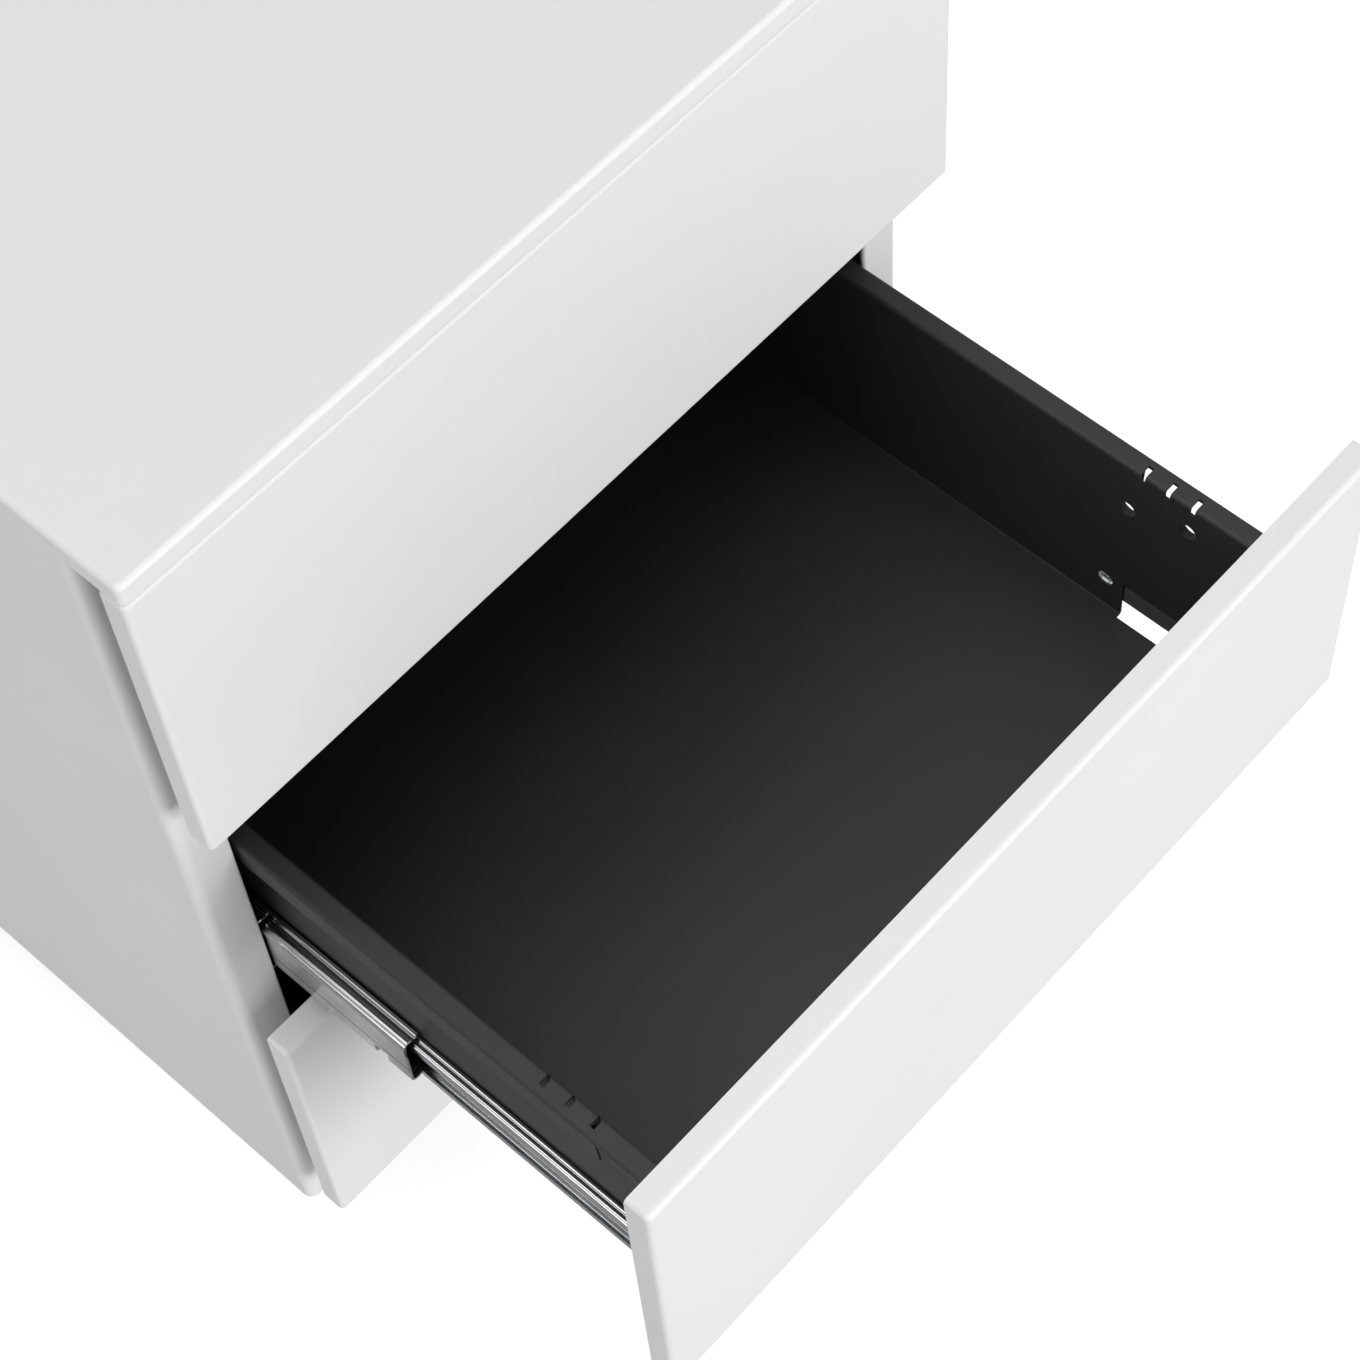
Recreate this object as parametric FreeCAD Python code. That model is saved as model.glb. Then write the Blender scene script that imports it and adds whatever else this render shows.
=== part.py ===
import FreeCAD, Part
import math
import os

os.makedirs("parts", exist_ok=True)

# All sizes are in millimetres. X runs to the right, Y to the back, Z up.
# The origin lies on the floor, under the middle of the footprint with the middle drawer open.

# Cabinet as a whole
cabinet_width = 390.0
cabinet_depth = 500.0
castor_height = 60.0
sheet = 0.9

# Top panel, the lid that also roofs the finger recesses
top_thickness = 9.0
top_edge_radius = 2.2
top_corner_radius = 3.0

# Side panels
recess_depth = 25.0
side_corner_radius = 5.0
hem_bend = 0.5
hem_length = 11.0
rear_flange = 18.0
back_rib_depth = 5.0
back_rib_width = 26.0
back_rib_inset = 100.0
back_rib_slope = 6.0
side_flange = 15.0
side_edge_radius = 0.7
opening_clearance = 0.8

# Base tray
tray_height = 21.0
tray_clearance = 0.6
stem_boss_radius = 9.0
stem_boss_height = 8.0

# Drawer fronts
front_height = 154.8
front_thickness = 11.0
front_gap = 3.4
top_gap = 1.0
front_above_base = 28.0
front_edge_radius = 2.4
front_corner_radius = 2.0
drawer_levels = ("bottom", "middle", "top")

# Middle drawer stands open as in the photograph
drawer_open = 201.4
middle_rail_share = 0.5

# Drawer boxes
wall_height = 100.0
floor_above_front_edge = 3.0
wall_flange_reach = 8.4
wall_lip_height = 16.5
wall_lip_lean = 1.2
box_bend = 0.8
box_overhang = 2.0
back_height = 84.0
back_flange = 12.0

# Punchings in the drawer walls, counted from the rear face of the front
slot_count = 3
slot_pitch = 11.9
slot_first = 43.6
slot_width = 2.3
slot_across_flange = 5.5
slot_down_wall = 3.8
collar_hole_radius = 4.0
collar_length = 2.6
collar_wall = 0.8
collar_holes = ((44.8, 83.8), (73.0, 72.8))
fixing_hole_place = (80.0, 17.2)
fixing_hole_size = (8.0, 7.0)
corner_notch_length = 71.0
corner_notch_height = 21.0
corner_notch_inset = 2.4
lip_relief_start = 31.8
lip_relief_width = 7.0
lip_tab_height = 8.0
low_lip_height = 6.0
low_lip_end = 72.0

# Telescopic slides
rail_thickness = 1.1
rail_bend = 0.35
rail_corner_bend = 2.1
rail_centre_above_front_edge = 21.7
slide_inset = 19.0
slide_width = 11.6
inner_rail_height = 22.8
inner_rail_reach = 5.4
inner_rail_lip = 5.0
inner_track_step = 3.8
middle_rail_inset = 2.4
middle_rail_reach = 8.0
outer_track_step = 4.0
outer_rail_reach = 8.0
groove_depth = 0.9
groove_half_width = 1.3
groove_share_of_flange = 0.68
inner_groove_depth = 0.6
inner_groove_half_width = 0.9
inner_groove_share = 0.5
outer_rail_setback = 27.9
outer_rail_rear_gap = 22.1
inner_rail_setback = 14.0
inner_rail_rear_gap = 1.9
middle_rail_front_inset = 24.1
middle_rail_rear_gap = 13.9
stop_notch_start = 12.0
stop_notch_length = 7.0
stop_notch_height = 8.0
web_line_drop = 4.0
web_line_width = 0.6
web_line_depth = 0.4
access_hole_radius = 4.0
access_hole_shares = (0.25, 0.75)
cage_thickness = 0.6
cage_reach = 4.4
inner_cage_length = 110.0
outer_cage_length = 90.0
cage_end_inset = 2.0
buffer_length = 12.0
buffer_edge_radius = 1.0

# Uprights and their rivets
upright_side_flange = 16.0
upright_rail_flange = 24.0
front_upright_setback = 44.0
rear_upright_inset = 100.0
rivet_radius = 2.0
rivet_head_radius = 3.4
rivet_fit = 0.05
rivet_tail_height = 1.4

# Castors
castor_side_inset = 45.0
front_castor_setback = 88.0
rear_castor_inset = 60.0
castor_trail = 19.0
wheel_radius = 21.0
wheel_width = 17.0
wheel_hub_width = 18.4
wheel_hub_radius = 7.0
wheel_rim_inner_radius = 15.0
wheel_web_width = 8.0
wheel_web_draft = 1.0
tread_crown = 0.7
tread_flat_half_width = 3.5
tread_edge_radius = 1.8
axle_radius = 3.0
axle_head_radius = 5.0
axle_head_height = 1.6
axle_head_taper = 1.0
fork_thickness = 2.0
fork_top = 50.0
fork_front = 14.0
fork_leg_radius = 8.0
fork_bend = 3.0
swivel_head_radius = 17.0
swivel_head_height = 5.6
swivel_head_rim = 2.0
swivel_head_taper = 2.4
stem_radius = 5.0
stem_head_radius = 7.5
stem_head_height = 2.6
stem_collar_radius = 14.0

# Brake pedals, shown pressed down on the tread
pedal_pivot_forward = 2.0
pedal_pivot_height = 45.2
pedal_boss_radius = 2.5
pedal_trunnion_radius = 1.7
pedal_thickness = 3.0
pedal_bend = 2.0
pedal_knee = (9.0, 1.0)
pedal_length = 27.0
pedal_drop = 10.0
pedal_pad_depth = 12.0
pedal_pad_reach = (5.0, 15.0)

# Fits and working gaps
pin_fit = 0.1
running_gap = 0.3
cut_margin = 1.0
same_place = 1e-6

# Values that follow from the ones above
front_face = (drawer_open - cabinet_depth) / 2
back_face = front_face + cabinet_depth
half_width = cabinet_width / 2
half_sheet = sheet / 2
base_bottom = castor_height
drawer_pitch = front_height + front_gap
lowest_front_edge = base_bottom + front_above_base
highest_front_edge = lowest_front_edge + 3 * drawer_pitch - front_gap
side_top = highest_front_edge + top_gap
front_rear_face = front_face + front_thickness
side_inner_face = half_width - sheet
rail_outer_half = half_width - slide_inset
middle_rail_outer_half = rail_outer_half - middle_rail_inset
inner_rail_web = rail_outer_half - slide_width
middle_rail_height = inner_rail_height + 2 * inner_track_step
outer_rail_height = middle_rail_height + 2 * outer_track_step
outer_rail_length = cabinet_depth - outer_rail_setback - outer_rail_rear_gap
buffer_setback = outer_rail_setback + outer_rail_length - buffer_length
inner_rail_length = buffer_setback - inner_rail_rear_gap - inner_rail_setback
middle_rail_setback = outer_rail_setback + middle_rail_front_inset
middle_rail_length = buffer_setback - middle_rail_rear_gap - middle_rail_setback
opening_half_width = middle_rail_outer_half + opening_clearance
wall_outer_half = inner_rail_web
wall_inner_half = wall_outer_half - sheet
wall_flange_outer_half = wall_outer_half + wall_flange_reach
box_length = inner_rail_setback + inner_rail_length + box_overhang - front_thickness
upright_setbacks = (front_upright_setback, cabinet_depth - rear_upright_inset)


def vec(x, y, z=0.0):
    return FreeCAD.Vector(x, y, z)


def unit(start, end):
    step = end - start
    return step * (1.0 / step.Length)


def left_of(direction):
    return vec(-direction.y, direction.x)


def sheet_side(points, corners, offset):
    """One face of a folded sheet, as edges at a signed offset from its middle line."""
    edges = []
    here = points[0] + left_of(unit(points[0], points[1])) * offset
    for before, after, way_in, way_out, turn, radius in corners:
        hand = math.copysign(1.0, turn)
        arc_start = before + left_of(way_in) * offset
        arc_end = after + left_of(way_out) * offset
        bisector = left_of(way_in) + left_of(way_out)
        bisector = bisector * (1.0 / bisector.Length)
        centre = before + left_of(way_in) * (radius * hand)
        arc_middle = centre - bisector * (hand * (radius - hand * offset))
        if (arc_start - here).Length > same_place:
            edges.append(Part.LineSegment(here, arc_start).toShape())
        edges.append(Part.Arc(arc_start, arc_middle, arc_end).toShape())
        here = arc_end
    last = points[-1] + left_of(unit(points[-2], points[-1])) * offset
    edges.append(Part.LineSegment(here, last).toShape())
    return edges


def folded_face(plan, thickness, bends):
    """Section of a folded sheet: middle line through plan, inside bend radii in bends."""
    points = [vec(a, b) for a, b in plan]
    if not isinstance(bends, (list, tuple)):
        bends = [bends] * (len(points) - 2)
    corners = []
    for before, corner, after, bend in zip(points, points[1:], points[2:], bends):
        way_in = unit(before, corner)
        way_out = unit(corner, after)
        turn = math.atan2(way_in.cross(way_out).z, way_in.dot(way_out))
        radius = bend + thickness / 2
        reach = radius * math.tan(abs(turn) / 2)
        arc_start = corner - way_in * reach
        arc_end = corner + way_out * reach
        corners.append((arc_start, arc_end, way_in, way_out, turn, radius))
    one = sheet_side(points, corners, thickness / 2)
    other = sheet_side(points, corners, -thickness / 2)
    start_cap = Part.LineSegment(one[0].Vertexes[0].Point, other[0].Vertexes[0].Point).toShape()
    end_cap = Part.LineSegment(one[-1].Vertexes[-1].Point, other[-1].Vertexes[-1].Point).toShape()
    loop = Part.Wire(Part.__sortEdges__(one + other + [start_cap, end_cap]))
    return Part.Face(loop)


def outline_face(points):
    corners = [vec(a, b) for a, b in points]
    return Part.Face(Part.makePolygon(corners + [corners[0]]))


def along_x(face, start, length):
    """Face drawn in (Y, Z), pushed along X."""
    turned = face.copy()
    turned.Placement = FreeCAD.Placement(vec(start, 0, 0), FreeCAD.Rotation(vec(1, 1, 1), 120))
    return turned.extrude(vec(length, 0, 0))


def along_y(face, start, length):
    """Face drawn in (X, Z), pushed along Y."""
    turned = face.copy()
    turned.Placement = FreeCAD.Placement(vec(0, start, 0), FreeCAD.Rotation(vec(1, 0, 0), 90))
    return turned.extrude(vec(0, length, 0))


def along_z(face, start, length):
    """Face drawn in (X, Y), pushed along Z."""
    lifted = face.copy()
    lifted.translate(vec(0, 0, start))
    return lifted.extrude(vec(0, 0, length))


def block(x_range, y_range, z_range):
    size = [high - low for low, high in (x_range, y_range, z_range)]
    return Part.makeBox(size[0], size[1], size[2], vec(x_range[0], y_range[0], z_range[0]))


def rod(radius, start, axis, length):
    return Part.makeCylinder(radius, length, start, axis)


def turned_solid(profile, base, axis_rotation):
    """Profile drawn as (radius, height), turned into a solid about its height axis."""
    face = outline_face(profile)
    solid = face.revolve(vec(0, 0, 0), vec(0, 1, 0), 360)
    solid.Placement = FreeCAD.Placement(base, axis_rotation)
    return solid


def upright_axis():
    return FreeCAD.Rotation(vec(1, 0, 0), 90)


def mirrored(shape):
    return shape.mirror(vec(0, 0, 0), vec(1, 0, 0))


def edges_where(shape, test):
    return [edge for edge in shape.Edges if test(edge)]


def runs_along(edge, axis):
    start = edge.Vertexes[0].Point
    end = edge.Vertexes[-1].Point
    step = end - start
    return step.Length > same_place and abs(abs(step.dot(axis)) - step.Length) < same_place


def hollow_pan(width, height, depth, edge_radius, corner_radius):
    """Closed double-skinned panel. Its show face is at the top of the local Z axis."""
    body = Part.makeBox(width, height, depth, vec(-width / 2, -height / 2, 0))
    upright_edges = edges_where(body, lambda edge: runs_along(edge, vec(0, 0, 1)))
    body = body.makeFillet(corner_radius, upright_edges)
    rim = edges_where(body, lambda edge: all(abs(v.Z - depth) < same_place for v in edge.Vertexes))
    body = body.makeFillet(edge_radius, rim)
    hollow = Part.makeBox(width - 4 * sheet, height - 4 * sheet, depth - 2 * sheet,
                          vec(2 * sheet - width / 2, 2 * sheet - height / 2, sheet))
    return body.cut(hollow)


def top_panel():
    pan = hollow_pan(cabinet_width, cabinet_depth, top_thickness, top_edge_radius, top_corner_radius)
    pan.translate(vec(0, (front_face + back_face) / 2, side_top))
    return pan


def left_side_panel():
    """Side wall with the finger return and its hem in front, and a flange at the back."""
    outer = -half_width + half_sheet
    inner = -opening_half_width - half_sheet
    return_line = front_face + recess_depth + half_sheet
    hem_line = return_line + 2 * (hem_bend + half_sheet)
    rear_line = back_face - half_sheet
    plan = ((inner - hem_length, hem_line), (inner, hem_line), (inner, return_line),
            (outer, return_line), (outer, rear_line), (outer + rear_flange, rear_line))
    bends = (hem_bend, hem_bend, side_corner_radius - sheet, box_bend)
    wall = along_z(folded_face(plan, sheet, bends), base_bottom, side_top - base_bottom)
    flange_front = front_face + recess_depth + side_corner_radius
    for level in (base_bottom, side_top - sheet):
        flange = block((-half_width + half_sheet, -half_width + side_flange),
                       (flange_front, back_face - sheet), (level, level + sheet))
        wall = wall.fuse(flange)
    wall = wall.removeSplitter()

    def long_outer_edge(edge):
        low = all(abs(v.X + half_width) < same_place for v in edge.Vertexes)
        at_end = all(min(abs(v.Z - base_bottom), abs(v.Z - side_top)) < same_place
                     for v in edge.Vertexes)
        return low and at_end and runs_along(edge, vec(0, 1, 0))

    return wall.makeFillet(side_edge_radius, edges_where(wall, long_outer_edge))


def back_panel():
    """Sheet with two upright stiffening ribs, inside the rear flanges of the sides."""
    rear_line = back_face - sheet - half_sheet
    side_line = side_inner_face - box_bend - tray_clearance
    right_half = []
    for side, depth in ((-1, 0.0), (-1, back_rib_depth), (1, back_rib_depth), (1, 0.0)):
        half_rib = back_rib_width / 2 - (back_rib_slope if depth else 0.0)
        right_half.append((half_width - back_rib_inset + side * half_rib, rear_line - depth))
    right_half.append((side_line, rear_line))
    plan = [(-a, b) for a, b in reversed(right_half)] + right_half
    bottom = base_bottom + sheet
    return along_z(folded_face(plan, sheet, box_bend), bottom, side_top - sheet - bottom)


def castor_places():
    """Swivel axes of the castors by name."""
    rows = (("front", front_castor_setback), ("rear", cabinet_depth - rear_castor_inset))
    sides = (("left", castor_side_inset - half_width), ("right", half_width - castor_side_inset))
    return {row + "_" + side: (x, front_face + setback)
            for row, setback in rows for side, x in sides}


def base_panel():
    """Tray on the bottom flanges of the sides, with a thick threaded boss over each castor."""
    side = side_inner_face - tray_clearance
    front = front_face + recess_depth + 2 * sheet + 2 * hem_bend + tray_clearance
    rear = back_face - 2 * sheet - back_rib_depth - tray_clearance
    bottom = base_bottom + sheet
    tray = block((-side, side), (front, rear), (bottom, bottom + tray_height))
    hollow = block((-side + sheet, side - sheet), (front + sheet, rear - sheet),
                   (bottom + sheet, bottom + 2 * tray_height))
    tray = tray.cut(hollow)
    for x, y in castor_places().values():
        boss = rod(stem_boss_radius, vec(x, y, bottom), vec(0, 0, 1), stem_boss_height)
        tray = tray.fuse(boss)
    for x, y in castor_places().values():
        thread = rod(stem_radius, vec(x, y, bottom - cut_margin), vec(0, 0, 1),
                     stem_boss_height + 2 * cut_margin)
        tray = tray.cut(thread)
    return tray.removeSplitter()


def rail_height_of(level):
    return lowest_front_edge + level * drawer_pitch + rail_centre_above_front_edge


def rivet_places():
    """Where each outer rail is riveted to the uprights, on the left side."""
    places = []
    for level in range(len(drawer_levels)):
        for setback in upright_setbacks:
            along = front_face + setback + upright_side_flange + upright_rail_flange / 2
            places.append((along, rail_height_of(level)))
    return places


def left_upright(setback):
    """Z-shaped post between the side wall and the slides, standing on the rim of the tray."""
    start = front_face + setback
    side_line = -side_inner_face + half_sheet
    rail_line = -rail_outer_half - half_sheet
    knee = start + upright_side_flange
    plan = ((side_line, start), (side_line, knee), (rail_line, knee),
            (rail_line, knee + upright_rail_flange))
    bottom = base_bottom + sheet + tray_height
    post = along_z(folded_face(plan, sheet, box_bend), bottom, side_top - sheet - bottom)
    for y, z in rivet_places():
        if start < y < start + upright_side_flange + upright_rail_flange:
            hole = rod(rivet_radius + rivet_fit, vec(-rail_outer_half - 2 * sheet, y, z),
                       vec(1, 0, 0), 3 * sheet)
            post = post.cut(hole)
    return post


def channel_section(upper, bends):
    """Section of a channel from the middle line of its upper half, tip first."""
    lower = tuple((a, -b) for a, b in reversed(upper))
    return folded_face(upper + lower, rail_thickness, bends + bends[::-1])


def grooved_section(web, reach, height):
    """Outer or middle rail: large rolled corners, and a ball groove in each flange."""
    top = height / 2 - rail_thickness / 2
    web_line = web + rail_thickness / 2
    tip = web + reach
    groove = web_line + (tip - web_line) * groove_share_of_flange
    upper = ((tip, top), (groove + groove_half_width, top), (groove, top - groove_depth),
             (groove - groove_half_width, top), (web_line, top))
    return channel_section(upper, [rail_bend, rail_bend, rail_bend, rail_corner_bend])


def lipped_section(web, reach, height):
    """Inner rail: it opens outwards, and its grooved flanges end in lips."""
    top = height / 2 - rail_thickness / 2
    web_line = web - rail_thickness / 2
    lip_line = web - reach + rail_thickness / 2
    groove = web_line + (lip_line - web_line) * inner_groove_share
    upper = ((lip_line, height / 2 - inner_rail_lip), (lip_line, top),
             (groove - inner_groove_half_width, top), (groove, top - inner_groove_depth),
             (groove + inner_groove_half_width, top), (web_line, top))
    return channel_section(upper, [rail_bend] * (len(upper) - 1))


def left_rail(section, level, setback, length):
    rail = along_y(section, front_face + setback, length)
    rail.translate(vec(0, 0, rail_height_of(level)))
    return rail


def open_shift(level):
    """How far the drawer at this level stands open."""
    if drawer_levels[level] == "middle":
        return drawer_open
    return 0.0


def left_outer_rail(level):
    section = grooved_section(-rail_outer_half, outer_rail_reach, outer_rail_height)
    rail = left_rail(section, level, outer_rail_setback, outer_rail_length)
    for y, z in rivet_places():
        if abs(z - rail_height_of(level)) < same_place:
            sink = Part.makeCone(rivet_radius + rivet_fit, rivet_head_radius + rivet_fit,
                                 rail_thickness, vec(-rail_outer_half, y, z), vec(1, 0, 0))
            rail = rail.cut(sink)
    return rail


def left_middle_rail(level):
    """Rail between the other two, with a rolled line in its web and a notch for the stop."""
    section = grooved_section(-middle_rail_outer_half, middle_rail_reach, middle_rail_height)
    rail = left_rail(section, level, middle_rail_setback, middle_rail_length)
    start = front_face + middle_rail_setback
    for share in access_hole_shares:
        place = vec(-middle_rail_outer_half - cut_margin, start + share * middle_rail_length,
                    rail_height_of(level))
        hole = rod(access_hole_radius, place, vec(1, 0, 0), 2 * cut_margin + rail_thickness)
        rail = rail.cut(hole)
    outside = -middle_rail_outer_half - cut_margin
    lower_edge = rail_height_of(level) - middle_rail_height / 2
    notch = block((outside, outside + middle_rail_reach + 2 * cut_margin),
                  (start + stop_notch_start, start + stop_notch_start + stop_notch_length),
                  (lower_edge - cut_margin, lower_edge + stop_notch_height))
    line_middle = rail_height_of(level) - web_line_drop
    web_line = block((outside, -middle_rail_outer_half + web_line_depth),
                     (start - cut_margin, start + middle_rail_length + cut_margin),
                     (line_middle - web_line_width / 2, line_middle + web_line_width / 2))
    rail = rail.cut([notch, web_line])
    rail.translate(vec(0, -open_shift(level) * middle_rail_share, 0))
    return rail


def rounded_slot(size, thickness):
    """Slot cutter in the (Y, Z) plane around the origin, pushed along X."""
    length, height = size
    straight = length - height
    slot = block((0, thickness), (-straight / 2, straight / 2), (-height / 2, height / 2))
    for end in (-straight / 2, straight / 2):
        slot = slot.fuse(rod(height / 2, vec(0, end, 0), vec(1, 0, 0), thickness))
    return slot


def left_inner_rail(level):
    section = lipped_section(-inner_rail_web, inner_rail_reach, inner_rail_height)
    rail = left_rail(section, level, inner_rail_setback, inner_rail_length)
    back, up = fixing_hole_place
    slot = rounded_slot(fixing_hole_size, 3 * rail_thickness)
    floor_level = rail_height_of(level) - rail_centre_above_front_edge + floor_above_front_edge
    slot.translate(vec(-inner_rail_web - 2 * rail_thickness, front_rear_face + back, floor_level + up))
    rail = rail.cut(slot)
    rail.translate(vec(0, -open_shift(level), 0))
    return rail


def cage_section(web, reach, height):
    top = height / 2 - cage_thickness / 2
    line = web + cage_thickness / 2
    return folded_face(((web + reach, top), (line, top), (line, -top), (web + reach, -top)),
                       cage_thickness, rail_bend)


def cage_height(inside_height, outside_height):
    """Height of a cage midway between the facing raceways of two rails."""
    return (inside_height + outside_height) / 2 - rail_thickness + cage_thickness - groove_depth


def left_ball_cages(level):
    """Inner and outer ball cage of one slide, carried by the middle rail."""
    front = front_face + middle_rail_setback + cage_end_inset
    rear = front_face + middle_rail_setback + middle_rail_length - cage_end_inset
    inner_web = -middle_rail_outer_half + rail_thickness + running_gap
    inner_height = cage_height(inner_rail_height, middle_rail_height)
    inner = cage_section(inner_web, cage_reach, inner_height)
    inner = along_y(inner, front, inner_cage_length)
    outer_web = -middle_rail_outer_half - running_gap - cage_thickness
    outer_height = cage_height(middle_rail_height, outer_rail_height)
    outer = cage_section(outer_web, cage_reach, outer_height)
    outer = along_y(outer, rear - outer_cage_length, outer_cage_length)
    pair = Part.makeCompound([inner, outer])
    pair.translate(vec(0, -open_shift(level) * middle_rail_share, rail_height_of(level)))
    return pair


def rail_rivets():
    """Countersunk rivets through outer rail and upright, both sides of the cabinet."""
    tail_start = rail_thickness + sheet
    profile = ((0, 0), (rivet_head_radius, 0), (rivet_radius, rail_thickness),
               (rivet_radius, tail_start), (rivet_head_radius, tail_start),
               (rivet_radius, tail_start + rivet_tail_height), (0, tail_start + rivet_tail_height))
    rivets = []
    for y, z in rivet_places():
        head = vec(-rail_outer_half + rail_thickness, y, z)
        rivet = turned_solid(profile, head, FreeCAD.Rotation(vec(0, 0, 1), 90))
        rivets += [rivet, mirrored(rivet)]
    return Part.makeCompound(rivets)


def rail_buffers():
    """Rubber block in the rear end of every outer rail, which stops the closing drawer."""
    blocks = []
    front = front_face + buffer_setback
    for level in range(len(drawer_levels)):
        z = rail_height_of(level)
        reach = outer_rail_height / 2 - rail_thickness
        rubber = block((-rail_outer_half + rail_thickness, -inner_rail_web - rail_thickness),
                       (front, front + buffer_length), (z - reach, z + reach))
        soft = edges_where(rubber, lambda edge: runs_along(edge, vec(0, 1, 0)))
        rubber = rubber.makeFillet(buffer_edge_radius, soft)
        section = grooved_section(-rail_outer_half, outer_rail_reach, outer_rail_height)
        outer = left_rail(section, level, outer_rail_setback, outer_rail_length)
        rubber = rubber.cut(outer)
        blocks += [rubber, mirrored(rubber)]
    return Part.makeCompound(blocks)


def drawer_front(level):
    """Hollow sheet front. It covers the whole width of the cabinet."""
    pan = hollow_pan(cabinet_width, front_height, front_thickness, front_edge_radius,
                     front_corner_radius)
    centre = lowest_front_edge + level * drawer_pitch + front_height / 2
    pan.Placement = FreeCAD.Placement(vec(0, front_rear_face - open_shift(level), centre),
                                      FreeCAD.Rotation(vec(1, 0, 0), 90))
    return pan


def wall_punchings(floor_level):
    """Cutters for the left drawer wall, counted back from the front."""
    outer = -wall_flange_outer_half
    wall_top = floor_level + wall_height
    cutters = []
    for index in range(slot_count):
        middle = front_rear_face + slot_first + index * slot_pitch
        cutters.append(block((-wall_inner_half - slot_across_flange, -wall_inner_half + sheet),
                             (middle - slot_width / 2, middle + slot_width / 2),
                             (wall_top - slot_down_wall, wall_top + sheet)))
    back, up = fixing_hole_place
    fixing = rounded_slot(fixing_hole_size, 3 * sheet)
    fixing.translate(vec(-wall_inner_half - 2 * sheet, front_rear_face + back, floor_level + up))
    cutters.append(fixing)
    notch_end = front_rear_face + corner_notch_length
    cutters.append(block((outer, -wall_inner_half + corner_notch_inset),
                         (front_rear_face + sheet, notch_end),
                         (floor_level - 2 * sheet, floor_level + corner_notch_height)))
    relief = front_rear_face + lip_relief_start
    lip_bottom = wall_top - wall_lip_height - sheet
    lip_zone = (outer - sheet, outer + wall_lip_lean + 2 * sheet)
    cutters.append(block(lip_zone, (relief, relief + lip_relief_width),
                         (lip_bottom, wall_top - 2 * sheet)))
    cutters.append(block(lip_zone, (front_rear_face - cut_margin, relief + sheet),
                         (lip_bottom, wall_top - lip_tab_height)))
    return cutters


def low_lip_cutter(wall_top):
    """The lip of the right wall stays low next to the slots, so they are open right through."""
    return block((wall_flange_outer_half - wall_lip_lean - 2 * sheet, wall_flange_outer_half + sheet),
                 (front_rear_face + lip_relief_start, front_rear_face + low_lip_end),
                 (wall_top - wall_lip_height - sheet, wall_top - low_lip_height))


def hole_collar(back, up, floor_level):
    """Round hole with a drawn collar on the outside of the left wall, as (ring, bore)."""
    start = vec(-wall_inner_half, front_rear_face + back, floor_level + up)
    length = sheet + collar_length
    ring = rod(collar_hole_radius + collar_wall, start, vec(-1, 0, 0), length)
    bore = rod(collar_hole_radius, start + vec(cut_margin, 0, 0), vec(-1, 0, 0),
               length + 2 * cut_margin)
    return ring, bore


def drawer_box(level):
    """Floor, both walls with flange and lip, and the upstand behind the front, from one sheet."""
    front_edge = lowest_front_edge + level * drawer_pitch
    floor_level = front_edge + floor_above_front_edge
    wall_top = floor_level + wall_height
    wall_line = wall_inner_half + half_sheet
    lip_line = wall_flange_outer_half - half_sheet
    half_section = ((-lip_line + wall_lip_lean, wall_top - wall_lip_height),
                    (-lip_line, wall_top - half_sheet), (-wall_line, wall_top - half_sheet),
                    (-wall_line, floor_level - half_sheet))
    section = half_section + tuple((-a, b) for a, b in reversed(half_section))
    body = along_y(folded_face(section, sheet, box_bend), front_rear_face, box_length)
    for cutter in wall_punchings(floor_level):
        body = body.cut(cutter).cut(mirrored(cutter))
    for back, up in collar_holes:
        ring, bore = hole_collar(back, up, floor_level)
        body = body.fuse([ring, mirrored(ring)]).cut(bore).cut(mirrored(bore))
    body = body.cut(low_lip_cutter(wall_top))
    upstand = block((-wall_outer_half, wall_outer_half), (front_rear_face, front_rear_face + sheet),
                    (floor_level - sheet, wall_top))
    body = body.fuse(upstand).removeSplitter()
    body.translate(vec(0, -open_shift(level), 0))
    return body


def drawer_back(level):
    """Rear wall with side and bottom flanges that lie against the box from inside."""
    floor_level = lowest_front_edge + level * drawer_pitch + floor_above_front_edge
    rear_line = front_rear_face + box_length - half_sheet
    side_line = wall_inner_half - half_sheet
    plan = ((-side_line, rear_line - back_flange), (-side_line, rear_line),
            (side_line, rear_line), (side_line, rear_line - back_flange))
    wall = along_z(folded_face(plan, sheet, box_bend), floor_level + sheet + box_bend,
                   back_height - sheet - box_bend)
    foot_side = wall_inner_half - back_flange
    foot = folded_face(((rear_line - back_flange, floor_level + half_sheet),
                        (rear_line, floor_level + half_sheet),
                        (rear_line, floor_level + back_flange)), sheet, box_bend)
    wall = wall.fuse(along_x(foot, -foot_side, 2 * foot_side)).removeSplitter()
    wall.translate(vec(0, -open_shift(level), 0))
    return wall


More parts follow.
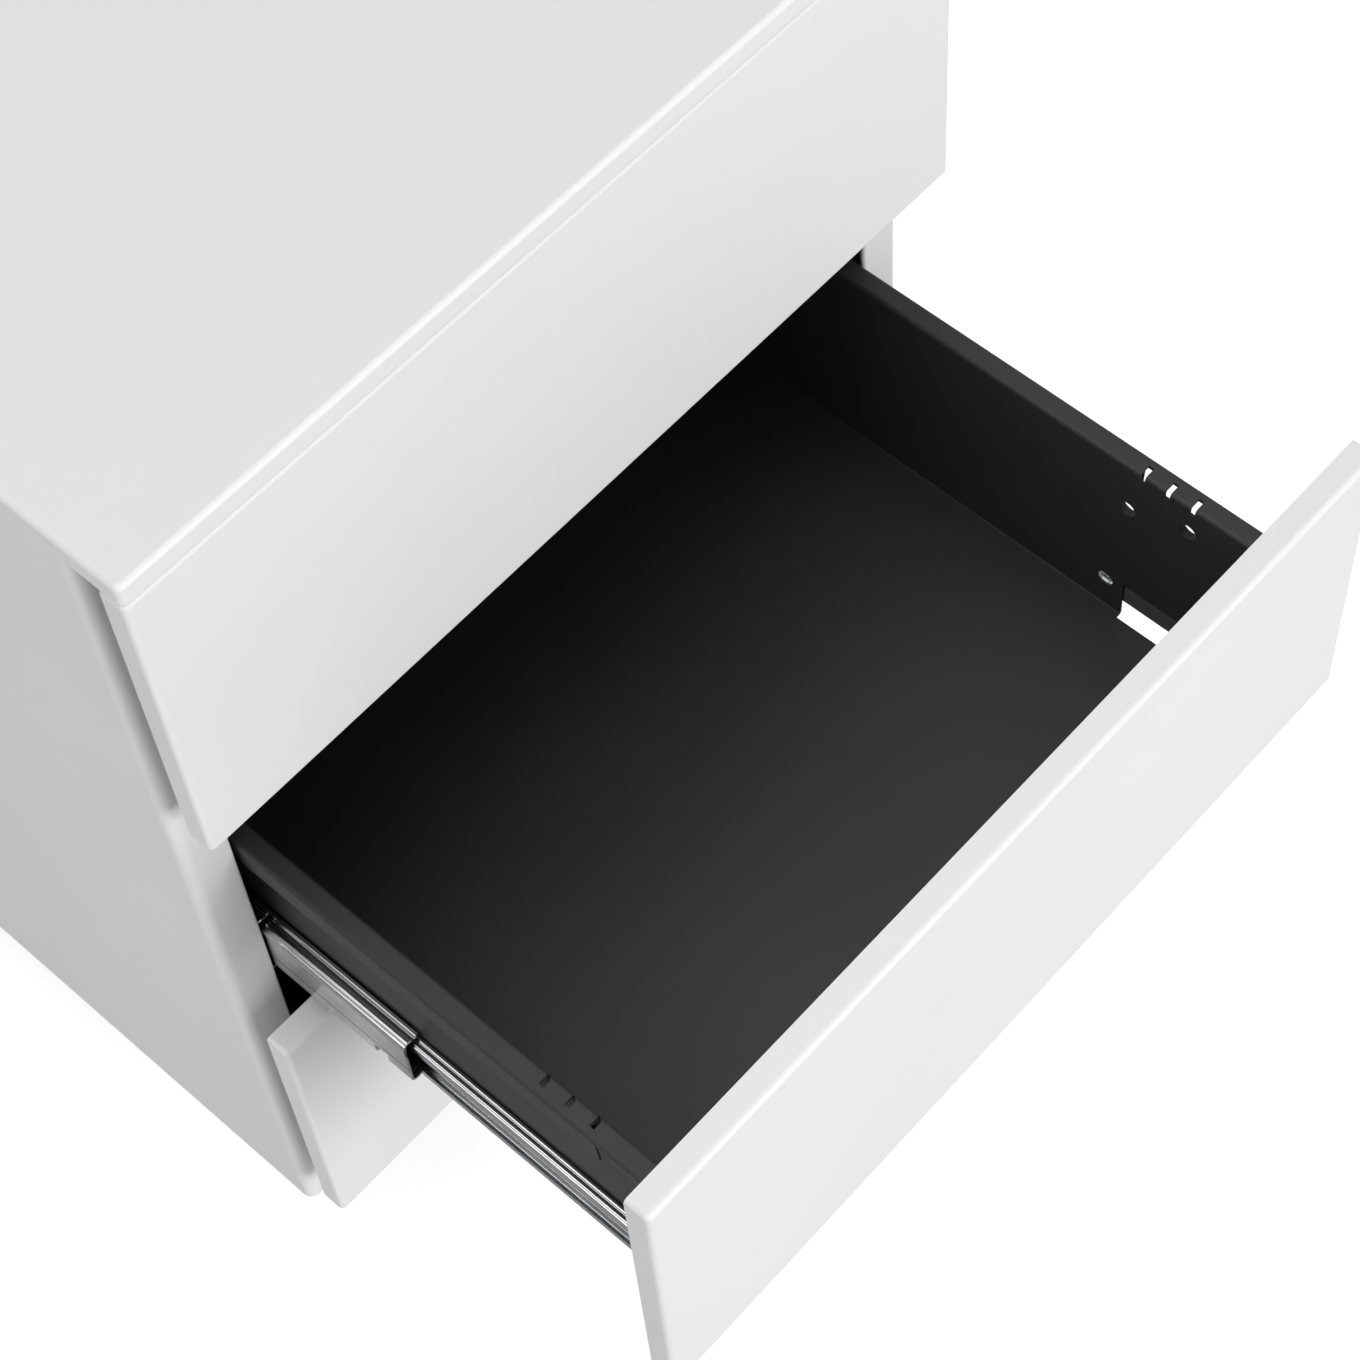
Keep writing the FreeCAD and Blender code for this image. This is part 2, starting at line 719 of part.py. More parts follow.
def fork_side_outline():
    """Side view of the fork legs in (Y, Z). The swivel axis is at zero, the wheel trails to -Y."""
    axle = vec(-castor_trail, wheel_radius)
    knee = vec(fork_front, fork_top - fork_front)
    to_knee = knee - axle
    slope = math.atan2(to_knee.y, to_knee.x) - math.acos(fork_leg_radius / to_knee.Length)
    low_back = axle + vec(math.cos(slope), math.sin(slope)) * fork_leg_radius
    bottom = axle + vec(0, -fork_leg_radius)
    low_front = axle + vec(-fork_leg_radius, 0)
    top_back = vec(fork_front, fork_top)
    top_front = vec(-castor_trail - fork_leg_radius, fork_top)
    edges = [Part.Arc(low_front, bottom, low_back).toShape(),
             Part.LineSegment(low_back, knee).toShape(),
             Part.LineSegment(knee, top_back).toShape(),
             Part.LineSegment(top_back, top_front).toShape(),
             Part.LineSegment(top_front, low_front).toShape()]
    return Part.Face(Part.Wire(edges))


def leg_line():
    """Middle of a fork leg, counted from the middle of the wheel."""
    return wheel_hub_width / 2 + running_gap + fork_thickness / 2


def pedal_pivot():
    return vec(0, -castor_trail - pedal_pivot_forward, pedal_pivot_height)


def castor_fork(with_pedal):
    """Pressed fork with its swivel head, at the origin."""
    leg = leg_line()
    crown = fork_top - fork_thickness / 2
    reach = castor_trail + fork_leg_radius + fork_front
    section = folded_face(((-leg, 0), (-leg, crown), (leg, crown), (leg, 0)), fork_thickness, fork_bend)
    fork = along_y(section, fork_front - reach, reach)
    fork = fork.common(along_x(fork_side_outline(), -2 * leg, 4 * leg))
    inside = leg - fork_thickness / 2
    window = block((-inside, inside), (-2 * reach, -swivel_head_radius + cut_margin),
                   (0, fork_top + cut_margin))
    fork = fork.cut(window)
    head_profile = ((0, 0), (swivel_head_radius, 0), (swivel_head_radius, swivel_head_rim),
                    (swivel_head_radius - swivel_head_taper, swivel_head_height),
                    (0, swivel_head_height))
    head = turned_solid(head_profile, vec(0, 0, fork_top - fork_thickness), upright_axis())
    fork = fork.fuse(head)
    fork = fork.cut(rod(stem_radius + pin_fit, vec(0, 0, 0), vec(0, 0, 1), castor_height))
    fork = fork.cut(rod(axle_radius, vec(-2 * leg, -castor_trail, wheel_radius), vec(1, 0, 0), 4 * leg))
    if with_pedal:
        start = pedal_pivot() - vec(2 * leg, 0, 0)
        fork = fork.cut(rod(pedal_trunnion_radius + pin_fit, start, vec(1, 0, 0), 4 * leg))
    return fork.removeSplitter()


def castor_wheel():
    """Hard wheel with a crowned tread, recessed web and hub, at the origin."""
    hub = wheel_hub_width / 2
    rim = wheel_width / 2
    web = wheel_web_width / 2
    shoulder = wheel_radius - tread_crown
    half = [(axle_radius + pin_fit, hub), (wheel_hub_radius, hub),
            (wheel_hub_radius + wheel_web_draft, web),
            (wheel_rim_inner_radius - wheel_web_draft, web), (wheel_rim_inner_radius, rim),
            (shoulder - tread_edge_radius, rim), (shoulder, rim - tread_edge_radius),
            (wheel_radius, tread_flat_half_width)]
    profile = half + [(r, -h) for r, h in reversed(half)]
    place = vec(0, -castor_trail, wheel_radius)
    return turned_solid(profile, place, FreeCAD.Rotation(vec(0, 0, 1), -90))


def castor_axle():
    """Riveted pin through both fork legs."""
    end = leg_line() + fork_thickness / 2
    tip = end + axle_head_height
    face = axle_head_radius - axle_head_taper
    profile = ((0, -tip), (face, -tip), (axle_head_radius, -end), (axle_radius, -end),
               (axle_radius, end), (axle_head_radius, end), (face, tip), (0, tip))
    place = vec(0, -castor_trail, wheel_radius)
    return turned_solid(profile, place, FreeCAD.Rotation(vec(0, 0, 1), -90))


def castor_stem():
    """Threaded king pin: head under the fork, collar under the base, thread in the boss."""
    top = castor_height + sheet + stem_boss_height
    head_top = fork_top - fork_thickness - running_gap
    head_bottom = head_top - stem_head_height
    collar_bottom = fork_top - fork_thickness + swivel_head_height + running_gap
    collar_top = castor_height + sheet
    profile = ((0, head_bottom), (stem_head_radius, head_bottom),
               (stem_head_radius, head_top), (stem_radius, head_top), (stem_radius, collar_bottom),
               (stem_collar_radius, collar_bottom), (stem_collar_radius, collar_top),
               (stem_radius, collar_top), (stem_radius, top), (0, top))
    return turned_solid(profile, vec(0, 0, 0), upright_axis())


def brake_pedal():
    """Foot pedal with its trunnions in the fork legs and a curved pad over the tread."""
    leg = leg_line()
    pivot = pedal_pivot()
    inner = leg - fork_thickness / 2 - running_gap
    trunnion_end = leg + fork_thickness / 2
    boss = rod(pedal_boss_radius, pivot - vec(inner, 0, 0), vec(1, 0, 0), 2 * inner)
    trunnion = rod(pedal_trunnion_radius, pivot - vec(trunnion_end, 0, 0), vec(1, 0, 0),
                   2 * trunnion_end)
    knee_reach, knee_drop = pedal_knee
    side = ((pivot.y, pivot.z), (pivot.y - knee_reach, pivot.z - knee_drop),
            (pivot.y - pedal_length, pivot.z - pedal_drop))
    plate = along_x(folded_face(side, pedal_thickness, pedal_bend), -inner, 2 * inner)
    pad_start, pad_end = pedal_pad_reach
    pad_side = ((pivot.y - pad_start, pivot.z), (pivot.y - knee_reach, pivot.z - knee_drop),
                (pivot.y - pad_end, pivot.z - pedal_drop / 2),
                (pivot.y - pad_end, pivot.z - pedal_pad_depth),
                (pivot.y - pad_start, pivot.z - pedal_pad_depth))
    pad = along_x(outline_face(pad_side), -inner, 2 * inner)
    tread = rod(wheel_radius + running_gap, vec(-leg, -castor_trail, wheel_radius),
                vec(1, 0, 0), 2 * leg)
    return boss.fuse([trunnion, plate, pad.cut(tread)]).removeSplitter()


def save(name, shape):
    shape.exportStep("parts/" + name + ".step")


save("top_panel", top_panel())
save("left_side_panel", left_side_panel())
save("right_side_panel", mirrored(left_side_panel()))
save("back_panel", back_panel())
save("base_panel", base_panel())
for row, setback in zip(("front", "rear"), upright_setbacks):
    post = left_upright(setback)
    save(row + "_left_upright", post)
    save(row + "_right_upright", mirrored(post))
save("rail_rivets", rail_rivets())
save("rail_buffers", rail_buffers())
makers = (("outer_rail", left_outer_rail), ("middle_rail", left_middle_rail),
          ("inner_rail", left_inner_rail), ("ball_cages", left_ball_cages))
for level, level_name in enumerate(drawer_levels):
    for piece, maker in makers:
        left_piece = maker(level)
        save(level_name + "_left_" + piece, left_piece)
        save(level_name + "_right_" + piece, mirrored(left_piece))
    save(level_name + "_drawer_front", drawer_front(level))
    save(level_name + "_drawer_box", drawer_box(level))
    save(level_name + "_drawer_back", drawer_back(level))
stems = []
for place, (x, y) in castor_places().items():
    shift = vec(x, y, 0)
    braked = place.startswith("front")
    fork = castor_fork(braked)
    wheel = castor_wheel()
    axle = castor_axle()
    stem = castor_stem()
    for piece in (fork, wheel, axle, stem):
        piece.translate(shift)
    save(place + "_castor_fork", fork)
    save(place + "_castor_wheel", wheel)
    save(place + "_castor_axle", axle)
    stems.append(stem)
    if braked:
        pedal = brake_pedal()
        pedal.translate(shift)
        save(place + "_brake_pedal", pedal)
save("castor_stems", Part.makeCompound(stems))
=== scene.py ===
import bmesh
import bpy
import math
from mathutils import Euler, Matrix, Vector


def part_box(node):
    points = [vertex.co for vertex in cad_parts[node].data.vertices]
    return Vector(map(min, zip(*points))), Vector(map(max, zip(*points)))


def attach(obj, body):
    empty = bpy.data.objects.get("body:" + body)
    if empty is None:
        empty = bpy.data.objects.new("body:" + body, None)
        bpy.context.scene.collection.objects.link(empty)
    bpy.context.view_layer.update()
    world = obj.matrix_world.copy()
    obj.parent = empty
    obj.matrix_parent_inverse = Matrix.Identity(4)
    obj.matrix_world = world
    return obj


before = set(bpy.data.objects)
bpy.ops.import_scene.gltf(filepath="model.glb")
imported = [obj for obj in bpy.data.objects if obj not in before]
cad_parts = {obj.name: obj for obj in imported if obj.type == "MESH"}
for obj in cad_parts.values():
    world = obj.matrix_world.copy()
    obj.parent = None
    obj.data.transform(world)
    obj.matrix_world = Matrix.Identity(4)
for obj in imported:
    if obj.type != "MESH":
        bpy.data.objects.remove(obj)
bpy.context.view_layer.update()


# Top panel. A double-skinned lid of folded sheet steel with a thin front lip, powder coated
# white. It is welded to the upper flanges of the sides.

def effect_group(name, numbers, colours):
    """A shader node group that gives a colour, a roughness and a normal."""
    group = bpy.data.node_groups.new(name, "ShaderNodeTree")
    for label, value in numbers:
        socket = group.interface.new_socket(label, in_out="INPUT", socket_type="NodeSocketFloat")
        socket.default_value = value
    for label in colours:
        group.interface.new_socket(label, in_out="INPUT", socket_type="NodeSocketColor")
    for label, kind in (("Color", "Color"), ("Roughness", "Float"), ("Normal", "Vector")):
        group.interface.new_socket(label, in_out="OUTPUT", socket_type="NodeSocket" + kind)
    given = group.nodes.new("NodeGroupInput")
    result = group.nodes.new("NodeGroupOutput")
    return group, given.outputs, result.inputs


def feed(links, term, socket):
    """Gives a socket its value, which is a number or an output of another node."""
    if isinstance(term, (int, float)):
        socket.default_value = term
    else:
        links.new(term, socket)


def arithmetic(nodes, links, operation, *terms):
    """A math node. Each term is a number or an output of another node."""
    node = nodes.new("ShaderNodeMath")
    node.operation = operation
    for socket, term in zip(node.inputs, terms):
        feed(links, term, socket)
    return node.outputs[0]


def noise(nodes, links, place, scale, detail=3.0):
    """A cloudy pattern from 0 to 1. A larger scale makes finer clouds."""
    node = nodes.new("ShaderNodeTexNoise")
    node.inputs["Detail"].default_value = detail
    links.new(place, node.inputs["Vector"])
    feed(links, scale, node.inputs["Scale"])
    return node.outputs["Fac"]


def spread(nodes, links, value, low, high, to_low=0.0, to_high=1.0):
    """Maps a value from low..high to another range, given as numbers or outputs."""
    node = nodes.new("ShaderNodeMapRange")
    links.new(value, node.inputs["Value"])
    for label, term in (("From Min", low), ("From Max", high),
                        ("To Min", to_low), ("To Max", to_high)):
        feed(links, term, node.inputs[label])
    return node.outputs["Result"]


def relief(nodes, links, height, strength, distance):
    """A normal for a pattern that stands out of the surface by a distance in metres."""
    node = nodes.new("ShaderNodeBump")
    node.inputs["Distance"].default_value = distance
    links.new(strength, node.inputs["Strength"])
    links.new(height, node.inputs["Height"])
    return node.outputs["Normal"]


def finish_from(effect, name, colours, values, metallic=0.0, specular=0.5):
    """A material whose colour, roughness and normal come from an effect group."""
    material = bpy.data.materials.new(name)
    material.use_nodes = True
    nodes, links = material.node_tree.nodes, material.node_tree.links
    shader = nodes["Principled BSDF"]
    shader.inputs["Metallic"].default_value = metallic
    shader.inputs["Specular IOR Level"].default_value = specular
    skin = nodes.new("ShaderNodeGroup")
    skin.node_tree = effect
    for label, colour in colours.items():
        skin.inputs[label].default_value = (*colour, 1.0)
    for label, value in values.items():
        skin.inputs[label].default_value = value
    for out, into in (("Color", "Base Color"), ("Roughness", "Roughness"), ("Normal", "Normal")):
        links.new(skin.outputs[out], shader.inputs[into])
    return material


def finish_node(node_name, material):
    """Gives a frame node its finish."""
    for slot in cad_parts[node_name].material_slots:
        slot.material = material


def powder_coat_effect():
    """Fine orange peel of a baked powder coat, with faint clouds in tone and gloss."""
    cloud_scale, cloud_detail = 9.0, 4.0
    cloud_low, cloud_middle, cloud_high = 0.3, 0.5, 0.7
    peel_height = 0.0002
    numbers = (("Cloud Strength", 0.03), ("Grain Size", 900.0), ("Grain Depth", 0.08),
               ("Roughness Low", 0.38), ("Roughness High", 0.48))
    group, given, result = effect_group("powder_coat", numbers, ("Paint",))
    nodes, links = group.nodes, group.links
    place = nodes.new("ShaderNodeTexCoord").outputs["Object"]
    clouds = noise(nodes, links, place, cloud_scale, cloud_detail)
    peel = noise(nodes, links, place, given["Grain Size"])
    swing = arithmetic(nodes, links, "SUBTRACT", clouds, cloud_middle)
    level = arithmetic(nodes, links, "MULTIPLY_ADD", swing, given["Cloud Strength"], 1.0)
    tint = nodes.new("ShaderNodeHueSaturation")
    links.new(level, tint.inputs["Value"])
    links.new(given["Paint"], tint.inputs["Color"])
    links.new(tint.outputs["Color"], result["Color"])
    gloss = spread(nodes, links, clouds, cloud_low, cloud_high,
                   given["Roughness Low"], given["Roughness High"])
    links.new(gloss, result["Roughness"])
    links.new(relief(nodes, links, peel, given["Grain Depth"], peel_height), result["Normal"])
    return group


powder_coat = powder_coat_effect()
white_paint = finish_from(powder_coat, "white_powder_coat", {"Paint": (0.80, 0.80, 0.80)}, {},
                          specular=0.35)
finish_node("top_panel", white_paint)


# Side panels. Each is one folded sheet with a rounded front corner, a narrow return with a
# hemmed edge, and flanges for the top, the base tray and the back. Same white coat.

sides = ("left", "right")
for side in sides:
    finish_node(side + "_side_panel", white_paint)


# Back panel. A flat steel sheet with two pressed ribs that stiffen it, spot welded inside
# the rear flanges of the sides. Same white coat.

finish_node("back_panel", white_paint)


# Base tray. A shallow tray of folded sheet steel that closes the cabinet below. It is coated
# white and carries the four castors in thick threaded bosses.

finish_node("base_panel", white_paint)


# Posts. Four Z-folded strips of bright zinc-plated steel, welded to the side panels. They
# stand on the rim of the base tray, and the slides are riveted to them.

def colour_between(nodes, links, share, first, second):
    """A colour that goes from the first to the second as the share goes from 0 to 1."""
    mix = nodes.new("ShaderNodeMix")
    mix.data_type = "RGBA"
    links.new(share, mix.inputs["Factor"])
    links.new(first, mix.inputs["A"])
    links.new(second, mix.inputs["B"])
    return mix.outputs["Result"]


def rolled_zinc_effect():
    """Bright zinc plate over cold-rolled strip: drawn lines along Y and soft patches."""
    patch_scale, patch_detail = 70.0, 5.0
    line_share, patch_share = 0.6, 0.4
    tone_low, tone_high = 0.32, 0.68
    line_height = 0.0001
    numbers = (("Line Count", 900.0), ("Line Stretch", 0.004), ("Line Depth", 0.12),
               ("Roughness Low", 0.18), ("Roughness High", 0.36))
    group, given, result = effect_group("rolled_zinc", numbers, ("Light", "Dark"))
    nodes, links = group.nodes, group.links
    place = nodes.new("ShaderNodeTexCoord").outputs["Object"]
    split = nodes.new("ShaderNodeSeparateXYZ")
    links.new(place, split.inputs[0])
    joined = nodes.new("ShaderNodeCombineXYZ")
    links.new(split.outputs["X"], joined.inputs["X"])
    links.new(arithmetic(nodes, links, "MULTIPLY", split.outputs["Y"], given["Line Stretch"]),
              joined.inputs["Y"])
    links.new(split.outputs["Z"], joined.inputs["Z"])
    lines = noise(nodes, links, joined.outputs[0], given["Line Count"])
    patches = noise(nodes, links, place, patch_scale, patch_detail)
    part = arithmetic(nodes, links, "MULTIPLY", patches, patch_share)
    both = arithmetic(nodes, links, "MULTIPLY_ADD", lines, line_share, part)
    tone = spread(nodes, links, both, tone_low, tone_high)
    links.new(colour_between(nodes, links, tone, given["Dark"], given["Light"]), result["Color"])
    gloss = spread(nodes, links, tone, 0.0, 1.0, given["Roughness High"], given["Roughness Low"])
    links.new(gloss, result["Roughness"])
    links.new(relief(nodes, links, lines, given["Line Depth"], line_height), result["Normal"])
    return group


rolled_zinc = rolled_zinc_effect()
post_zinc = finish_from(rolled_zinc, "post_zinc",
                        {"Light": (0.66, 0.67, 0.68), "Dark": (0.50, 0.51, 0.52)},
                        {"Line Stretch": 0.3, "Line Count": 120.0, "Roughness Low": 0.3,
                         "Roughness High": 0.5}, metallic=1.0)
ends = ("front", "rear")
for end in ends:
    for side in sides:
        finish_node(end + "_" + side + "_upright", post_zinc)


# Slides. Three nested rails of zinc-plated strip on each side of each drawer, rolled to
# grooved channels. The inner rail is fixed to the drawer box and the outer one to the posts.

slide_zinc = finish_from(rolled_zinc, "slide_zinc",
                         {"Light": (0.68, 0.69, 0.70), "Dark": (0.46, 0.47, 0.48)},
                         {"Roughness Low": 0.12, "Roughness High": 0.22, "Line Depth": 0.05},
                         metallic=1.0)
levels = ("bottom", "middle", "top")
for level in levels:
    for side in sides:
        for rail in ("outer_rail", "middle_rail", "inner_rail"):
            finish_node("_".join((level, side, rail)), slide_zinc)


# Ball cages. Thin channels of moulded black plastic that keep the balls apart. Each slide has
# a longer one in front, inside its middle rail, and a shorter one at the rear, outside it.

def moulded_effect():
    """Moulded plastic: fine spark-eroded texture with rubbed, slightly paler patches."""
    rub_scale, rub_detail = 120.0, 6.0
    rub_low, rub_high = 0.5, 0.75
    pit_height = 0.0001
    numbers = (("Texture Size", 1400.0), ("Texture Depth", 0.15),
               ("Roughness Low", 0.42), ("Roughness High", 0.6))
    group, given, result = effect_group("moulded_plastic", numbers, ("Plastic", "Rubbed"))
    nodes, links = group.nodes, group.links
    place = nodes.new("ShaderNodeTexCoord").outputs["Object"]
    pits = nodes.new("ShaderNodeTexVoronoi")
    links.new(place, pits.inputs["Vector"])
    links.new(given["Texture Size"], pits.inputs["Scale"])
    rub = noise(nodes, links, place, rub_scale, rub_detail)
    rubbed = spread(nodes, links, rub, rub_low, rub_high)
    links.new(colour_between(nodes, links, rubbed, given["Plastic"], given["Rubbed"]),
              result["Color"])
    gloss = spread(nodes, links, rub, 0.0, 1.0, given["Roughness Low"], given["Roughness High"])
    links.new(gloss, result["Roughness"])
    links.new(relief(nodes, links, pits.outputs["Distance"], given["Texture Depth"], pit_height),
              result["Normal"])
    return group


moulded_skin = moulded_effect()
cage_plastic = finish_from(moulded_skin, "cage_plastic",
                           {"Plastic": (0.012, 0.012, 0.013), "Rubbed": (0.03, 0.03, 0.03)}, {})
for level in levels:
    for side in sides:
        finish_node("_".join((level, side, "ball_cages")), cage_plastic)


# Balls. Bright hardened steel, one row above and one below in each cage. They roll in the
# grooves between two rails, and here they ride with the middle rail as their cages do.

ball_steel = finish_from(rolled_zinc, "ball_steel",
                         {"Light": (0.75, 0.76, 0.77), "Dark": (0.55, 0.56, 0.57)},
                         {"Line Stretch": 1.0, "Line Depth": 0.03, "Roughness Low": 0.08,
                          "Roughness High": 0.18}, metallic=1.0)
ball_radius = 0.00095
ball_pitch = 0.0098
# Length of a row, its depth from the middle rail's web, and its rise from the rail's middle.
inner_row_length, inner_row_depth, inner_row_rise = 0.110, 0.0057, 0.0123
outer_row_length, outer_row_depth, outer_row_rise = 0.090, 0.0034, 0.01625


def ball_rows(level, side):
    """Steel balls of one slide: a row above and below in each of its two cages."""
    rail = "_".join((level, side, "middle_rail"))
    low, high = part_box(rail)
    cage_low, cage_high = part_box("_".join((level, side, "ball_cages")))
    inward = 1.0 if side == "left" else -1.0
    web = low[0] if side == "left" else high[0]
    height = (low[2] + high[2]) / 2
    balls = bmesh.new()
    cages = ((cage_low[1], inner_row_length, inner_row_depth, inner_row_rise),
             (cage_high[1] - outer_row_length, outer_row_length, outer_row_depth, outer_row_rise))
    for start, length, depth, rise in cages:
        count = int(length / ball_pitch)
        for index in range(count):
            y = start + (index + 0.5) * length / count
            for way in (-1.0, 1.0):
                place = Matrix.Translation((web + inward * depth, y, height + way * rise))
                bmesh.ops.create_icosphere(balls, subdivisions=2, radius=ball_radius, matrix=place)
    for face in balls.faces:
        face.smooth = True
    name = "_".join((level, side, "steel_balls"))
    mesh = bpy.data.meshes.new(name)
    balls.to_mesh(mesh)
    balls.free()
    mesh.materials.append(ball_steel)
    piece = bpy.data.objects.new(name, mesh)
    bpy.context.scene.collection.objects.link(piece)
    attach(piece, "_".join((level, side, "slide_middle")))


for level in levels:
    for side in sides:
        ball_rows(level, side)


# Rivets and buffers. Countersunk steel rivets hold the outer rails to the posts. A rubber
# buffer in the rear end of each outer rail takes the knock of the closing drawer.

buffer_rubber = finish_from(moulded_skin, "buffer_rubber",
                            {"Plastic": (0.015, 0.015, 0.015), "Rubbed": (0.025, 0.025, 0.025)},
                            {"Roughness Low": 0.7, "Roughness High": 0.85})
finish_node("rail_rivets", slide_zinc)
finish_node("rail_buffers", buffer_rubber)


# Drawer fronts. Hollow folded pans of sheet steel with softly rounded edges, coated white and
# fixed to the drawer boxes from inside. They cover the full width and have no handles.

for level in levels:
    finish_node(level + "_drawer_front", white_paint)


# Drawer boxes. Each is folded from one steel sheet, with flanges, slots and notched corners,
# and has a rear wall welded in. Both are coated satin black.

black_paint = finish_from(powder_coat, "black_powder_coat", {"Paint": (0.034, 0.034, 0.035)},
                          {"Cloud Strength": 0.25, "Grain Size": 1300.0, "Grain Depth": 0.25,
                           "Roughness Low": 0.42, "Roughness High": 0.55}, specular=0.3)
for level in levels:
    finish_node(level + "_drawer_box", black_paint)
    finish_node(level + "_drawer_back", black_paint)


# Castors. Pressed zinc-plated forks on threaded stems, with black nylon wheels on riveted
# axles. The front pair has a black pedal that presses a pad on the tread.

fork_zinc = finish_from(rolled_zinc, "fork_zinc",
                        {"Light": (0.70, 0.71, 0.72), "Dark": (0.52, 0.53, 0.54)},
                        {"Line Stretch": 0.6, "Line Count": 160.0, "Roughness Low": 0.25,
                         "Roughness High": 0.42}, metallic=1.0)
wheel_nylon = finish_from(moulded_skin, "wheel_nylon",
                          {"Plastic": (0.018, 0.018, 0.019), "Rubbed": (0.05, 0.05, 0.05)},
                          {"Texture Size": 900.0, "Roughness Low": 0.35})
for end in ends:
    for side in sides:
        corner = end + "_" + side
        finish_node(corner + "_castor_fork", fork_zinc)
        finish_node(corner + "_castor_axle", fork_zinc)
        finish_node(corner + "_castor_wheel", wheel_nylon)
        if end == "front":
            finish_node(corner + "_brake_pedal", wheel_nylon)
finish_node("castor_stems", fork_zinc)


# Floor. A plain pale floor that shows white outside the cabinet's shadow, because it glows
# for the camera alone. Metal and gloss mirror it in a darker tone.

plain_white = (1.0, 1.0, 1.0, 1.0)


def room_floor():
    reach = 1.4
    pale_tone, mirrored_tone = 0.66, 0.40
    camera_glow = 0.64
    mesh = bpy.data.meshes.new("floor")
    corners = [(-reach, -reach, 0.0), (reach, -reach, 0.0),
               (reach, reach, 0.0), (-reach, reach, 0.0)]
    mesh.from_pydata(corners, [], [(0, 1, 2, 3)])
    floor = bpy.data.objects.new("floor", mesh)
    bpy.context.scene.collection.objects.link(floor)
    material = bpy.data.materials.new("floor_white")
    material.use_nodes = True
    nodes, links = material.node_tree.nodes, material.node_tree.links
    shader = nodes["Principled BSDF"]
    shader.inputs["Roughness"].default_value = 0.9
    shader.inputs["Specular IOR Level"].default_value = 0.1
    ray = nodes.new("ShaderNodeLightPath")
    tone = spread(nodes, links, ray.outputs["Is Glossy Ray"], 0.0, 1.0, pale_tone, mirrored_tone)
    links.new(tone, shader.inputs["Base Color"])
    seen = arithmetic(nodes, links, "MULTIPLY", ray.outputs["Is Camera Ray"], camera_glow)
    shader.inputs["Emission Color"].default_value = plain_white
    links.new(seen, shader.inputs["Emission Strength"])
    mesh.materials.append(material)


room_floor()


# Backdrop and lamps. Soft white light from all round and three large lamps, one in front, one
# above and one on the left. In metal the room shows a bright ceiling and a screen on two sides.

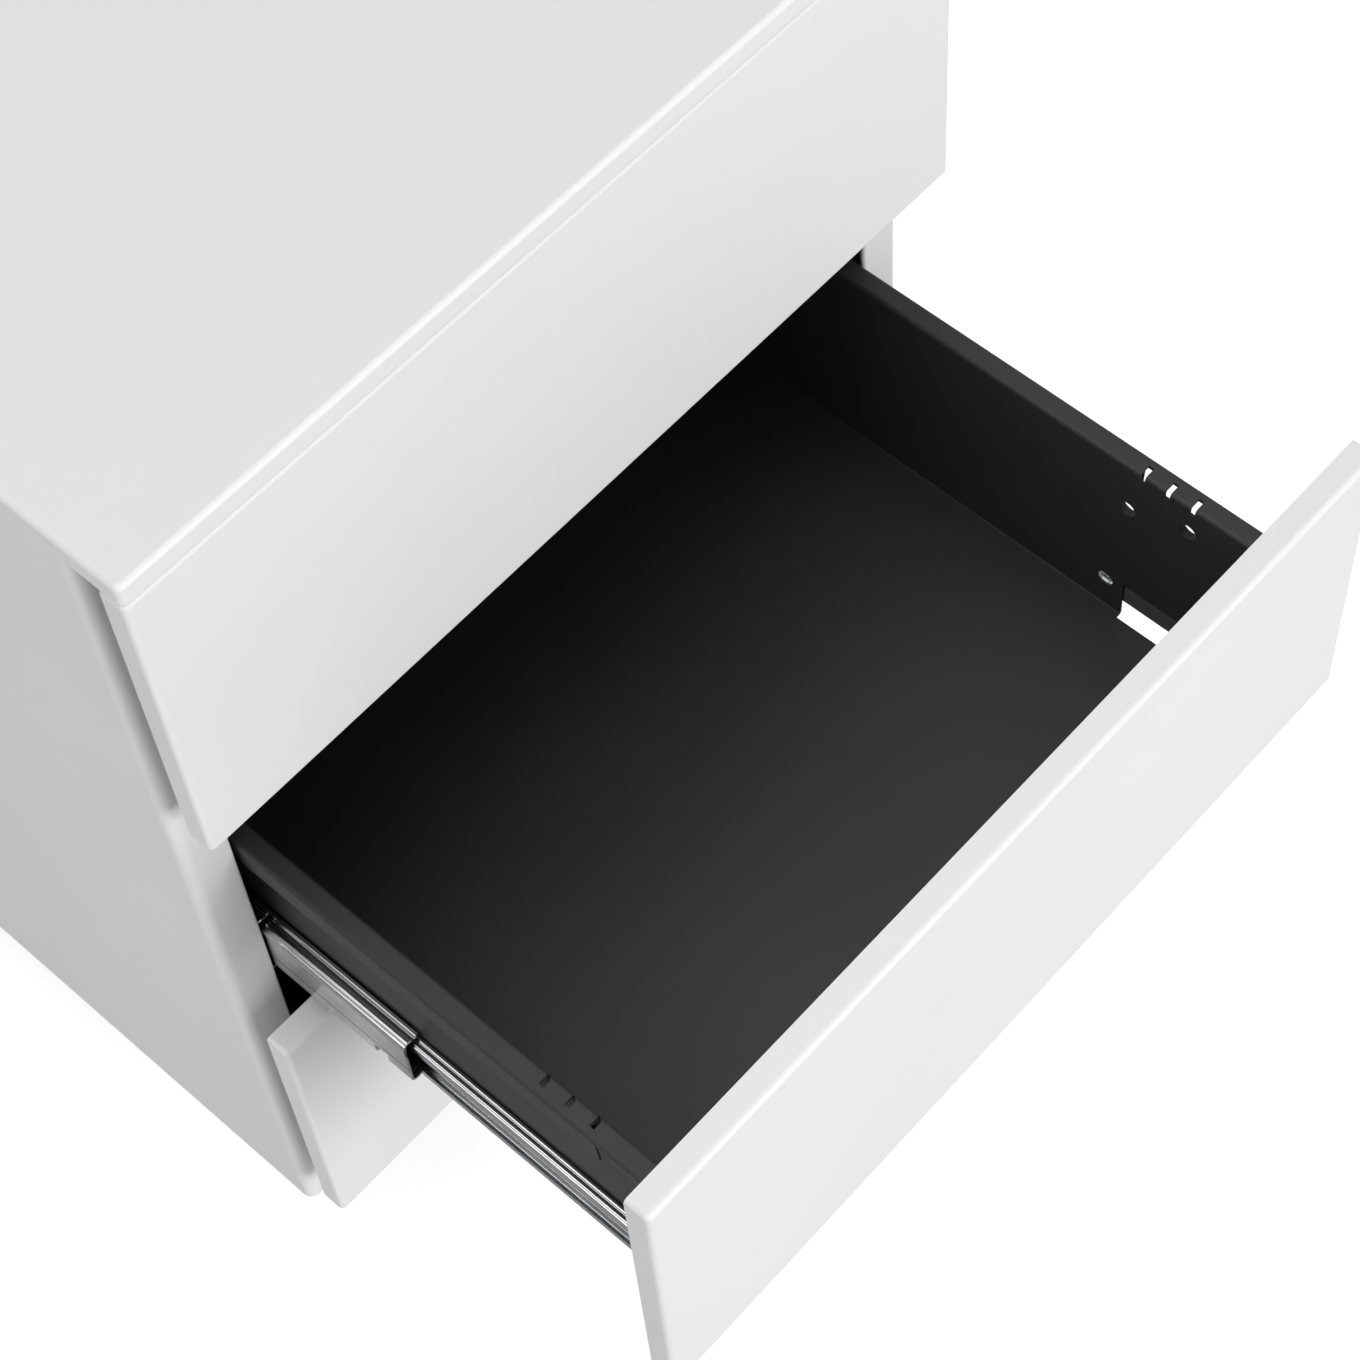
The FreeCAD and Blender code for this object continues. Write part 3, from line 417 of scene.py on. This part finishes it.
def room_world():
    """Directions are unit vectors: Z is 0 at the horizon and 1 straight above."""
    lighting_strength, backdrop_strength = 0.42, 1.0
    ceiling_edge, ceiling_full = 0.5, 0.82
    ceiling_dim, ceiling_bright = 0.05, 1.0
    screen_x, screen_y = 0.68, 0.73
    screen_edge, screen_full, screen_strength = 0.35, 0.7, 0.95
    screen_fades, screen_top = 0.3, 0.5
    world = bpy.data.worlds.new("studio")
    bpy.context.scene.world = world
    world.use_nodes = True
    nodes, links = world.node_tree.nodes, world.node_tree.links
    lighting = nodes["Background"]
    mirrored = nodes.new("ShaderNodeBackground")
    backdrop = nodes.new("ShaderNodeBackground")
    for sky in (lighting, mirrored, backdrop):
        sky.inputs["Color"].default_value = plain_white
    lighting.inputs["Strength"].default_value = lighting_strength
    backdrop.inputs["Strength"].default_value = backdrop_strength
    direction = nodes.new("ShaderNodeSeparateXYZ")
    links.new(nodes.new("ShaderNodeTexCoord").outputs["Generated"], direction.inputs[0])
    ceiling = spread(nodes, links, direction.outputs["Z"], ceiling_edge, ceiling_full,
                     ceiling_dim, ceiling_bright)
    across = arithmetic(nodes, links, "MULTIPLY", direction.outputs["X"], screen_x)
    behind = arithmetic(nodes, links, "MULTIPLY_ADD", direction.outputs["Y"], screen_y, across)
    either_way = arithmetic(nodes, links, "ABSOLUTE", behind)
    screen = spread(nodes, links, either_way, screen_edge, screen_full, 0.0, screen_strength)
    below = spread(nodes, links, direction.outputs["Z"], screen_fades, screen_top, 1.0, 0.0)
    links.new(arithmetic(nodes, links, "MULTIPLY_ADD", screen, below, ceiling),
              mirrored.inputs["Strength"])
    ray = nodes.new("ShaderNodeLightPath")
    seen = lighting.outputs[0]
    for kind, sky in (("Is Glossy Ray", mirrored), ("Is Transmission Ray", backdrop),
                      ("Is Camera Ray", backdrop)):
        mix = nodes.new("ShaderNodeMixShader")
        links.new(ray.outputs[kind], mix.inputs["Fac"])
        links.new(seen, mix.inputs[1])
        links.new(sky.outputs[0], mix.inputs[2])
        seen = mix.outputs[0]
    links.new(seen, nodes["World Output"].inputs["Surface"])


def room_light(name, place, target, width, height, watts):
    """A soft rectangular lamp that faces its target."""
    light = bpy.data.lights.new(name, "AREA")
    light.shape = "RECTANGLE"
    light.size = width
    light.size_y = height
    light.energy = watts
    lamp = bpy.data.objects.new(name, light)
    lamp.location = place
    lamp.rotation_euler = (Vector(target) - Vector(place)).to_track_quat("-Z", "Y").to_euler()
    bpy.context.scene.collection.objects.link(lamp)


room_world()
room_light("key", place=(0.55, -4.6, 1.5), target=(0.0, -0.1, 0.3),
           width=2.8, height=2.2, watts=142.0)
room_light("above", place=(-0.2, 0.1, 3.2), target=(0.0, 0.0, 0.3),
           width=2.4, height=2.4, watts=31.0)
room_light("left", place=(-3.4, 0.3, 1.2), target=(0.0, 0.0, 0.3),
           width=2.0, height=1.8, watts=25.0)


# Camera. It looks down into the open drawer from above the front left corner. Its place,
# angles and lens were solved from the cabinet's edges in the photograph.

camera = bpy.data.cameras.new("camera")
camera.lens = 88.09
camera.sensor_width = 36.0
camera.clip_start = 0.05
eye = bpy.data.objects.new("camera", camera)
eye.location = (-0.45144, -0.67048, 1.39284)
tilt, roll, turn = 31.4188, 3.1346, -47.7744
eye.rotation_euler = Euler([math.radians(angle) for angle in (tilt, roll, turn)], "XYZ")
bpy.context.scene.collection.objects.link(eye)
bpy.context.scene.camera = eye
bpy.context.scene.view_settings.view_transform = "Standard"
